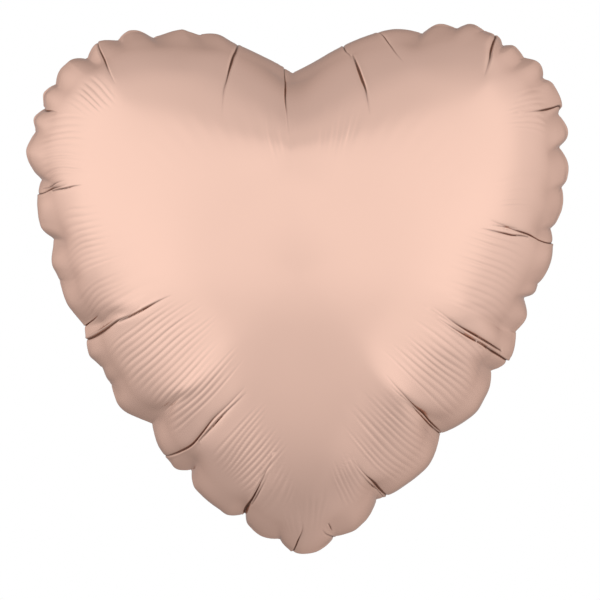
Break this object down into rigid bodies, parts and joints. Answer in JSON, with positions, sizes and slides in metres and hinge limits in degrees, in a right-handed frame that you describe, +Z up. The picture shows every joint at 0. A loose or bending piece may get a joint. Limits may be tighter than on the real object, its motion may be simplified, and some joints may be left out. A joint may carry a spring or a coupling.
{
  "type": "heart-shaped foil balloon",
  "caption": "Inflated heart-shaped foil balloon: satin film shells welded along a scalloped rim, a self-sealing valve inside, and a filling neck folded up behind the tip.",
  "frame": {"origin": "the tie point: the bottom tip of the heart, where a ribbon is knotted round the filling neck", "axes": "+X to the right seen from the front, +Y to the rear, +Z up from the tip towards the lobes"},
  "size_m": [0.3799, 0.2064, 0.3762],
  "materials": {
    "foil_front": "satin rose-gold metallised film",
    "foil_rear": "satin rose-gold metallised film",
    "weld": "crimped satin film weld",
    "valve_film": "thin clear polyethylene film"
  },
  "bodies": {
    "heart": {"front_foil": "foil_front", "rear_foil": "foil_rear", "edge_seal": "weld", "valve_front_film": "valve_film", "valve_rear_film": "valve_film"},
    "neck": {"neck_front_film": "foil_front", "neck_rear_film": "foil_rear", "inlet_front_film": "valve_film", "inlet_rear_film": "valve_film"}
  },
  "joints": [
    {"name": "neck_fold", "type": "hinge", "parent": "heart", "child": "neck", "pos_m": [0, 0.0005, -0.0024], "axis": [-1, 0, 0], "range_deg": [0, 124]}
  ]
}
